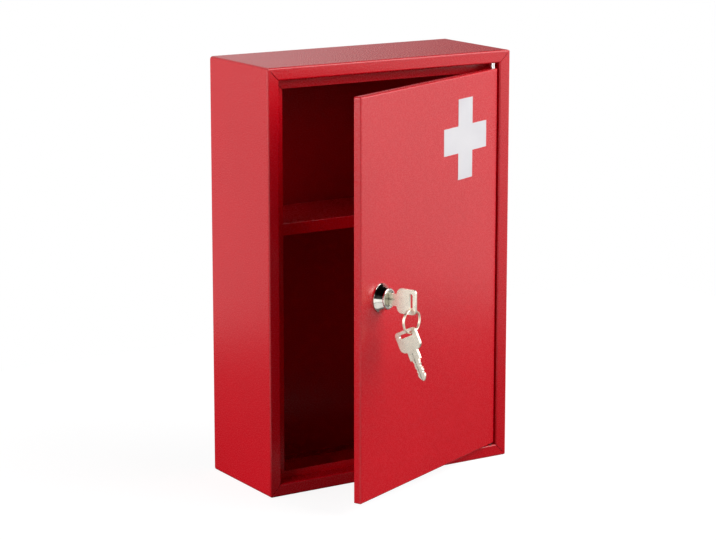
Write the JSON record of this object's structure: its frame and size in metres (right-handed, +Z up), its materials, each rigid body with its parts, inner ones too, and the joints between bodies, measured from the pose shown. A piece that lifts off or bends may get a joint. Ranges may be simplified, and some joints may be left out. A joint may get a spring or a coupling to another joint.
{
  "type": "lockable medicine cabinet",
  "caption": "Wall cabinet for medicines: shallow folded-steel casing with one shelf, a pin-hinged locking door bearing a cross, and a cam lock with its keys.",
  "frame": {"origin": "centre of the casing's bottom face, which it stands on", "axes": "+Z up along the height; the wall face looks along +Y and the door is on the -Y side; the hinge is on the +X side"},
  "size_m": [0.2, 0.1743, 0.3],
  "materials": {
    "red_casing": "orange-peel powder coat",
    "red_door": "orange-peel powder coat",
    "white_film": "satin film",
    "black_rubber": "matt",
    "red_fibre": "vulcanised fibre",
    "bare_steel": "satin",
    "zinc_plate": "bright zinc plate",
    "nickel_lock": "polished nickel plate",
    "nickel_plug": "satin nickel plate",
    "brass_wafer": "stamped",
    "nickel_key": "nickel silver, milled",
    "ring_wire": "nickel-plated spring wire"
  },
  "bodies": {
    "casing": {"left_side_panel": "red_casing", "right_side_panel": "red_casing", "top_panel": "red_casing", "bottom_panel": "red_casing", "back_panel": "red_casing", "shelf": "red_casing", "left_shelf_bracket": "red_casing", "right_shelf_bracket": "red_casing", "hinge_washer": "red_fibre"},
    "door": {"door_panel": "red_door", "door_cross": "white_film", "door_buffers": "black_rubber", "top_hinge_block": "bare_steel", "bottom_hinge_block": "bare_steel", "top_hinge_pin": "zinc_plate", "bottom_hinge_pin": "zinc_plate", "lock_housing": "nickel_lock", "lock_tooth_washer": "zinc_plate", "lock_nut": "zinc_plate"},
    "plug": {"lock_plug": "nickel_plug", "lock_cam": "zinc_plate", "cam_washer": "zinc_plate", "cam_screw": "zinc_plate"},
    "wafers": {"lock_wafers": "brass_wafer"},
    "key": {"door_key": "nickel_key"},
    "ring": {"key_ring": "ring_wire"},
    "spare": {"spare_key": "nickel_key"}
  },
  "joints": [
    {"name": "door_hinge", "type": "hinge", "parent": "casing", "child": "door", "pos_m": [0.0868, -0.0374, 0.1485], "axis": [0, 0, 1], "range_deg": [-24.3, 85.7]},
    {"name": "lock_turn", "type": "hinge", "parent": "door", "child": "plug", "pos_m": [-0.04884, -0.1015, 0.1485], "axis": [-0.4115, 0.9114, 0], "range_deg": [0, 90]},
    {"name": "key_slide", "type": "slide", "parent": "plug", "child": "key", "axis": [0.4115, -0.9114, 0], "range_m": [0, 0.016]},
    {"name": "wafer_drop", "type": "slide", "parent": "plug", "child": "wafers", "axis": [0, 0, -1], "range_m": [0, 0.0006]},
    {"name": "ring_swing", "type": "hinge", "parent": "key", "child": "ring", "pos_m": [-0.0388, -0.12373, 0.14133], "axis": [0.2807, -0.9598, 0], "range_deg": [0, 90]},
    {"name": "spare_key_swing", "type": "hinge", "parent": "ring", "child": "spare", "pos_m": [-0.0388, -0.12373, 0.12741], "axis": [0.9598, 0.2807, 0], "range_deg": [-60, 55]}
  ],
  "couplings": [
    {"joint": "ring_swing", "follows": "lock_turn", "ratio": 1},
    {"joint": "wafer_drop", "follows": "key_slide", "ratio": 0.0375}
  ]
}
